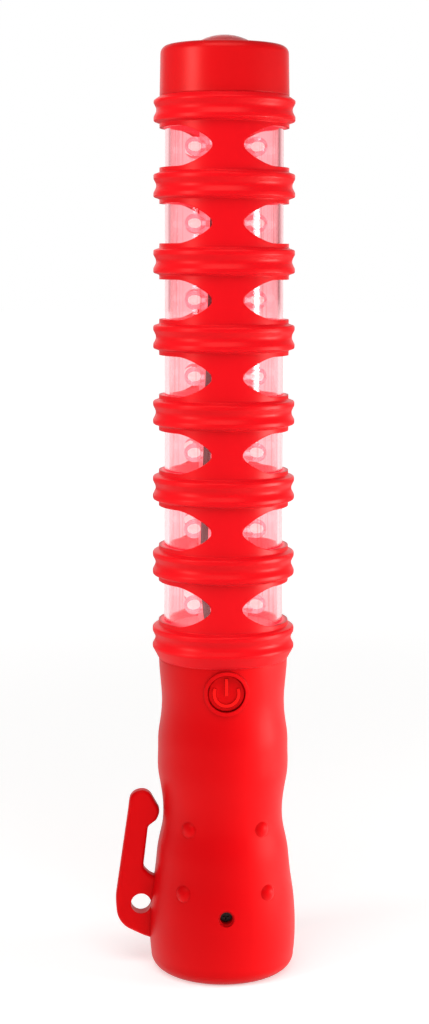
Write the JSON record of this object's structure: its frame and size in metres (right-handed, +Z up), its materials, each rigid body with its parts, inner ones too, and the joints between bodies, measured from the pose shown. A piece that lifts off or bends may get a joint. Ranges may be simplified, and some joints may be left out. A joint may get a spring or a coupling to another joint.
{
  "type": "led safety flare",
  "caption": "Hand-held LED warning baton with a ringed rubber light guard, a torch lens in the head, a power button, a side hook and a screw-in battery cap.",
  "frame": {"origin": "centre of the flat foot, on the plane the flare stands on", "axes": "+Z up the flare to the torch lens, -Y towards the power button, -X towards the hook"},
  "size_m": [0.0484, 0.0392, 0.2501],
  "materials": {
    "red_sleeve_rubber": "satin moulded rubber",
    "red_grip_rubber": "satin moulded rubber",
    "red_cap_plastic": "fine satin moulded plastic",
    "clear_plastic": "clear polished",
    "lens_plastic": "clear polished",
    "led_epoxy": "water-clear epoxy, lit pink-red",
    "white_board": "white solder mask",
    "green_board": "green solder mask",
    "white_plastic": "moulded, satin",
    "black_plastic": "moulded, satin",
    "black_rubber": "moulded",
    "chip_ceramic": "chip resistors",
    "reflector_coat": "bright vacuum coat",
    "emitter": "phosphor dome on a white package",
    "screw_steel": "dark zinc",
    "contact_metal": "nickel plated",
    "spring_steel": "nickel plated wire",
    "magnet_metal": "nickel plated magnet",
    "cell_jacket": "plain printed steel can"
  },
  "bodies": {
    "flare": {"cage_sleeve": "red_sleeve_rubber", "clear_tube": "clear_plastic", "head_cap": "red_cap_plastic", "torch_lens": "lens_plastic", "lens_gasket": "black_rubber", "torch_reflector": "reflector_coat", "torch_led": "emitter", "torch_board": "white_board", "tube_plug": "white_plastic", "core_post": "white_plastic", "core_foot": "white_plastic", "core_connector": "white_plastic", "resistors": "chip_ceramic", "torch_cable": "black_rubber", "handle_housing": "black_plastic", "grip": "red_grip_rubber", "grip_screw": "screw_steel", "switch_body": "black_plastic", "control_board": "green_board", "control_chip": "black_plastic", "battery_partition": "black_plastic", "upper_contact": "contact_metal", "carrier_frame": "black_plastic", "cell_springs": "spring_steel", "cell_plates": "contact_metal", "led_board_back_right": "white_board", "leds_back_right": "led_epoxy", "led_board_back_left": "white_board", "leds_back_left": "led_epoxy", "led_board_front_left": "white_board", "leds_front_left": "led_epoxy", "led_board_front_right": "white_board", "leds_front_right": "led_epoxy", "cell_1": "cell_jacket", "cell_2": "cell_jacket", "cell_3": "cell_jacket"},
    "button": {"power_button": "red_grip_rubber", "switch_plunger": "white_plastic"},
    "cap_carriage": {"cap_seal": "black_rubber"},
    "cap": {"base_cap": "red_cap_plastic", "base_magnet": "magnet_metal", "tail_contact": "contact_metal", "tail_spring": "spring_steel"}
  },
  "joints": [
    {"name": "button_press", "type": "slide", "parent": "flare", "child": "button", "axis": [0, 1, 0], "range_m": [0, 0.0006], "stiffness_N_per_m": 1500},
    {"name": "cap_drop", "type": "slide", "parent": "flare", "child": "cap_carriage", "axis": [0, 0, -1], "range_m": [0, 0.006]},
    {"name": "cap_unscrew", "type": "hinge", "parent": "cap_carriage", "child": "cap", "pos_m": [0, 0, 0], "axis": [0, 0, -1], "range_deg": [0, 1080]}
  ],
  "couplings": [
    {"joint": "cap_drop", "follows": "cap_unscrew", "m_per_rad": 0.0003183}
  ]
}
